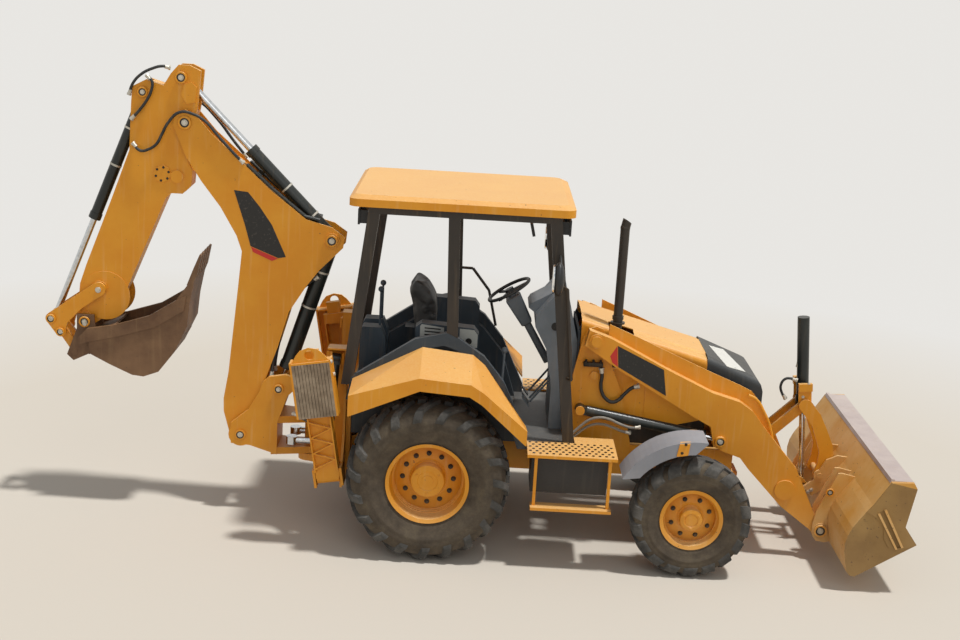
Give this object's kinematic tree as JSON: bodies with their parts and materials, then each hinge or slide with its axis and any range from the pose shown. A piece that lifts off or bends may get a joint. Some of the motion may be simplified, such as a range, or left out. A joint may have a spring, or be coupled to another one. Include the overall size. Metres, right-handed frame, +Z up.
{
  "type": "backhoe_loader",
  "caption": "Yellow backhoe loader with an open four-post canopy, a front bucket on two lift arms and a folded digging arm behind",
  "frame": {"origin": "on the ground, at the middle of the whole length and width as parked", "axes": "+X to the front bucket, +Y to the driver's left, +Z up"},
  "size_m": [7.128, 2.392, 3.73],
  "materials": {
    "yellow_paint": "satin, dusty",
    "worn_yellow_paint": "worn, scratched",
    "dark_paint": "satin",
    "engine_paint": "matte",
    "cylinder_paint": "gloss",
    "chrome_rod": "polished",
    "tyre_rubber": "dusty",
    "pad_rubber": "matte",
    "grey_plastic": "matte",
    "cab_liner": "matte",
    "seat_vinyl": "vinyl, satin",
    "black_plastic": "matte",
    "worn_steel": "worn, rusty"
  },
  "bodies": {
    "root": {"main_frame": "yellow_paint", "engine_block": "engine_paint", "axles": "yellow_paint", "backhoe_frame": "yellow_paint", "rear_fenders": "yellow_paint", "cab_body": "cab_liner", "canopy_frame": "dark_paint", "canopy_roof": "yellow_paint", "dash_console": "grey_plastic", "side_steps": "yellow_paint", "swing_barrels": "cylinder_paint", "exhaust_stack": "dark_paint", "work_lamps": "black_plastic"},
    "hood": {"hood": "yellow_paint", "hood_nose": "dark_paint"},
    "seat": {"operator_seat": "seat_vinyl"},
    "steering_wheel": {"steering_wheel": "black_plastic"},
    "loader_arms": {"loader_arms": "yellow_paint"},
    "lift_barrels": {"lift_barrels": "cylinder_paint"},
    "lift_rods": {"lift_rods": "chrome_rod"},
    "tilt_levers": {"tilt_levers": "yellow_paint"},
    "tilt_barrel": {"tilt_barrel": "cylinder_paint"},
    "tilt_rod": {"tilt_rod": "chrome_rod"},
    "tilt_links": {"tilt_links": "yellow_paint"},
    "loader_bucket": {"loader_bucket": "worn_yellow_paint"},
    "swing_casting": {"swing_casting": "yellow_paint"},
    "swing_rod_left": {"swing_rod_left": "chrome_rod"},
    "swing_rod_right": {"swing_rod_right": "chrome_rod"},
    "boom": {"boom": "yellow_paint", "boom_hoses": "cylinder_paint"},
    "boom_barrel": {"boom_barrel": "cylinder_paint"},
    "boom_rod": {"boom_rod": "chrome_rod"},
    "stick": {"stick": "yellow_paint"},
    "stick_barrel": {"stick_barrel": "cylinder_paint"},
    "stick_rod": {"stick_rod": "chrome_rod"},
    "digging_bucket": {"digging_bucket": "worn_steel"},
    "dig_barrel": {"dig_barrel": "cylinder_paint"},
    "dig_rod": {"dig_rod": "chrome_rod"},
    "idler_links": {"idler_links": "yellow_paint"},
    "coupler_link": {"coupler_link": "yellow_paint"},
    "knuckle_left": {"knuckle_left": "yellow_paint", "front_fender_left": "grey_plastic"},
    "front_wheel_left": {"front_tyre_left": "tyre_rubber", "front_rim_left": "yellow_paint"},
    "rear_wheel_left": {"rear_tyre_left": "tyre_rubber", "rear_rim_left": "yellow_paint"},
    "stabiliser_leg_left": {"stabiliser_leg_left": "yellow_paint", "stabiliser_pad_left": "pad_rubber"},
    "stabiliser_barrel_left": {"stabiliser_barrel_left": "cylinder_paint"},
    "stabiliser_rod_left": {"stabiliser_rod_left": "chrome_rod"},
    "knuckle_right": {"knuckle_right": "yellow_paint", "front_fender_right": "grey_plastic"},
    "front_wheel_right": {"front_tyre_right": "tyre_rubber", "front_rim_right": "yellow_paint"},
    "rear_wheel_right": {"rear_tyre_right": "tyre_rubber", "rear_rim_right": "yellow_paint"},
    "stabiliser_leg_right": {"stabiliser_leg_right": "yellow_paint", "stabiliser_pad_right": "pad_rubber"},
    "stabiliser_barrel_right": {"stabiliser_barrel_right": "cylinder_paint"},
    "stabiliser_rod_right": {"stabiliser_rod_right": "chrome_rod"}
  },
  "joints": [
    {"name": "loader_lift", "type": "hinge", "parent": "root", "child": "loader_arms", "pos_m": [0.988, 0, 1.764], "axis": [0, -1, 0], "range_deg": [-2, 80]},
    {"name": "lift_barrel_pivot", "type": "hinge", "parent": "root", "child": "lift_barrels", "pos_m": [0.898, 0, 1.17], "axis": [0, -1, 0], "range_deg": [-2.61, 65.57]},
    {"name": "lift_rod_slide", "type": "slide", "parent": "lift_barrels", "child": "lift_rods", "axis": [0.9868, 0, -0.1616], "range_m": [-0.0266, 0.67384]},
    {"name": "bucket_tilt", "type": "hinge", "parent": "loader_arms", "child": "loader_bucket", "pos_m": [2.953, 0, 0.263], "axis": [0, -1, 0], "range_deg": [-135, 10]},
    {"name": "tilt_lever_pivot", "type": "hinge", "parent": "loader_arms", "child": "tilt_levers", "pos_m": [2.398, 0, 0.78], "axis": [0, -1, 0], "range_deg": [-58.5, 5.26]},
    {"name": "tilt_link_pivot", "type": "hinge", "parent": "loader_bucket", "child": "tilt_links", "pos_m": [2.998, 0, 0.6], "axis": [0, -1, 0], "range_deg": [-10.9, 134.72]},
    {"name": "tilt_barrel_pivot", "type": "hinge", "parent": "tilt_levers", "child": "tilt_barrel", "pos_m": [2.818, 0, 1.2], "axis": [0, -1, 0], "range_deg": [-2.9, 26.67]},
    {"name": "tilt_rod_slide", "type": "slide", "parent": "tilt_barrel", "child": "tilt_rod", "axis": [0.0955, 0, -0.9954], "range_m": [-0.54086, 0.04932]},
    {"name": "steer_left", "type": "hinge", "parent": "root", "child": "knuckle_left", "pos_m": [1.798, 0.78, 0.4875], "axis": [0, 0, 1], "range_deg": [-33, 33]},
    {"name": "steer_right", "type": "hinge", "parent": "root", "child": "knuckle_right", "pos_m": [1.798, -0.78, 0.4875], "axis": [0, 0, 1], "range_deg": [-33, 33]},
    {"name": "front_wheel_left_spin", "type": "hinge", "parent": "knuckle_left", "child": "front_wheel_left", "pos_m": [1.798, 0.95, 0.4875], "axis": [0, 1, 0], "continuous": true},
    {"name": "rear_wheel_left_spin", "type": "hinge", "parent": "root", "child": "rear_wheel_left", "pos_m": [-0.302, 0.857, 0.657], "axis": [0, 1, 0], "continuous": true},
    {"name": "front_wheel_right_spin", "type": "hinge", "parent": "knuckle_right", "child": "front_wheel_right", "pos_m": [1.798, -0.95, 0.4875], "axis": [0, 1, 0], "continuous": true},
    {"name": "rear_wheel_right_spin", "type": "hinge", "parent": "root", "child": "rear_wheel_right", "pos_m": [-0.302, -0.857, 0.657], "axis": [0, 1, 0], "continuous": true},
    {"name": "hood_lift", "type": "hinge", "parent": "root", "child": "hood", "pos_m": [0.908, 0, 1.83], "axis": [0, -1, 0], "range_deg": [0, 45]},
    {"name": "seat_swivel", "type": "hinge", "parent": "root", "child": "seat", "pos_m": [-0.302, 0, 1.3], "axis": [0, 0, 1], "range_deg": [0, 180]},
    {"name": "steering_wheel_turn", "type": "hinge", "parent": "root", "child": "steering_wheel", "pos_m": [0.272, 0, 2.025], "axis": [-0.515, 0, 0.8572], "range_deg": [-540, 540]},
    {"name": "swing", "type": "hinge", "parent": "root", "child": "swing_casting", "pos_m": [-1.352, 0, 0.7], "axis": [0, 0, 1], "range_deg": [-90, 90]},
    {"name": "swing_rod_left_slide", "type": "slide", "parent": "root", "child": "swing_rod_left", "axis": [1, 0, 0], "range_m": [-0.2062, 0.2062]},
    {"name": "swing_rod_right_slide", "type": "slide", "parent": "root", "child": "swing_rod_right", "axis": [1, 0, 0], "range_m": [-0.2062, 0.2062]},
    {"name": "boom_lift", "type": "hinge", "parent": "swing_casting", "child": "boom", "pos_m": [-1.922, 0, 0.68], "axis": [0, -1, 0], "range_deg": [0, 116]},
    {"name": "boom_barrel_pivot", "type": "hinge", "parent": "boom", "child": "boom_barrel", "pos_m": [-1.207, 0, 2.377], "axis": [0, -1, 0], "range_deg": [-1, 12.19]},
    {"name": "boom_rod_slide", "type": "slide", "parent": "boom_barrel", "child": "boom_rod", "axis": [-0.2989, 0, -0.9543], "range_m": [-0.01, 0.88769]},
    {"name": "stick_swing", "type": "hinge", "parent": "boom", "child": "stick", "pos_m": [-2.422, 0, 3.276], "axis": [0, -1, 0], "range_deg": [-105, 10]},
    {"name": "stick_barrel_pivot", "type": "hinge", "parent": "boom", "child": "stick_barrel", "pos_m": [-1.207, 0, 2.377], "axis": [0, -1, 0], "range_deg": [-3.89, 1.27]},
    {"name": "stick_rod_slide", "type": "slide", "parent": "stick_barrel", "child": "stick_rod", "axis": [-0.706, 0, 0.7082], "range_m": [-0.57741, 0.06404]},
    {"name": "dig_curl", "type": "hinge", "parent": "stick", "child": "digging_bucket", "pos_m": [-3.237, 0, 1.58], "axis": [0, -1, 0], "range_deg": [-140, 0]},
    {"name": "idler_pivot", "type": "hinge", "parent": "stick", "child": "idler_links", "pos_m": [-3.121, 0, 1.86], "axis": [0, -1, 0], "range_deg": [-70.97, 1]},
    {"name": "coupler_pivot", "type": "hinge", "parent": "digging_bucket", "child": "coupler_link", "pos_m": [-3.322, 0, 1.31], "axis": [0, -1, 0], "range_deg": [-1, 135.32]},
    {"name": "dig_barrel_pivot", "type": "hinge", "parent": "stick", "child": "dig_barrel", "pos_m": [-2.767, 0, 3.5], "axis": [0, -1, 0], "range_deg": [-8.24, 1]},
    {"name": "dig_rod_slide", "type": "slide", "parent": "dig_barrel", "child": "dig_rod", "axis": [-0.3649, 0, -0.931], "range_m": [-0.51091, 0.01]},
    {"name": "stabiliser_left", "type": "hinge", "parent": "root", "child": "stabiliser_leg_left", "pos_m": [-1.102, 0.825, 0.6], "axis": [-0.9863, 0, -0.165], "range_deg": [0, 115]},
    {"name": "stabiliser_barrel_left_pivot", "type": "hinge", "parent": "root", "child": "stabiliser_barrel_left", "pos_m": [-1.1, 0.605, 1.52], "axis": [0.9376, -0.321, -0.1335], "range_deg": [-1, 12.5]},
    {"name": "stabiliser_rod_left_slide", "type": "slide", "parent": "stabiliser_barrel_left", "child": "stabiliser_rod_left", "axis": [-0.0512, 0.2525, -0.9662], "range_m": [-0.01, 0.34586]},
    {"name": "stabiliser_right", "type": "hinge", "parent": "root", "child": "stabiliser_leg_right", "pos_m": [-1.102, -0.825, 0.6], "axis": [0.9863, 0, 0.165], "range_deg": [0, 115]},
    {"name": "stabiliser_barrel_right_pivot", "type": "hinge", "parent": "root", "child": "stabiliser_barrel_right", "pos_m": [-1.1, -0.605, 1.52], "axis": [-0.9376, -0.321, 0.1335], "range_deg": [-1, 12.5]},
    {"name": "stabiliser_rod_right_slide", "type": "slide", "parent": "stabiliser_barrel_right", "child": "stabiliser_rod_right", "axis": [-0.0512, -0.2525, -0.9662], "range_m": [-0.01, 0.34586]}
  ],
  "couplings": [
    {"joint": "lift_barrel_pivot", "follows": "loader_lift", "ratio": 0.80714},
    {"joint": "lift_rod_slide", "follows": "loader_lift", "m_per_rad": 0.47544},
    {"joint": "tilt_lever_pivot", "follows": "bucket_tilt", "ratio": 0.42593},
    {"joint": "tilt_link_pivot", "follows": "bucket_tilt", "ratio": -0.99049},
    {"joint": "tilt_barrel_pivot", "follows": "bucket_tilt", "ratio": -0.19013},
    {"joint": "tilt_rod_slide", "follows": "bucket_tilt", "m_per_rad": 0.2253},
    {"joint": "steer_right", "follows": "steer_left", "ratio": 1},
    {"joint": "swing_rod_left_slide", "follows": "swing", "m_per_rad": -0.13},
    {"joint": "swing_rod_right_slide", "follows": "swing", "m_per_rad": 0.13},
    {"joint": "boom_barrel_pivot", "follows": "boom_lift", "ratio": 0.0965},
    {"joint": "boom_rod_slide", "follows": "boom_lift", "m_per_rad": 0.43352},
    {"joint": "stick_barrel_pivot", "follows": "stick_swing", "ratio": 0.0275},
    {"joint": "stick_rod_slide", "follows": "stick_swing", "m_per_rad": 0.30962},
    {"joint": "idler_pivot", "follows": "dig_curl", "ratio": 0.49981},
    {"joint": "coupler_pivot", "follows": "dig_curl", "ratio": -0.95944},
    {"joint": "dig_barrel_pivot", "follows": "dig_curl", "ratio": 0.05175},
    {"joint": "dig_rod_slide", "follows": "dig_curl", "m_per_rad": 0.205},
    {"joint": "stabiliser_barrel_left_pivot", "follows": "stabiliser_left", "ratio": 0.1},
    {"joint": "stabiliser_rod_left_slide", "follows": "stabiliser_left", "m_per_rad": 0.16734},
    {"joint": "stabiliser_barrel_right_pivot", "follows": "stabiliser_right", "ratio": 0.1},
    {"joint": "stabiliser_rod_right_slide", "follows": "stabiliser_right", "m_per_rad": 0.16734}
  ]
}
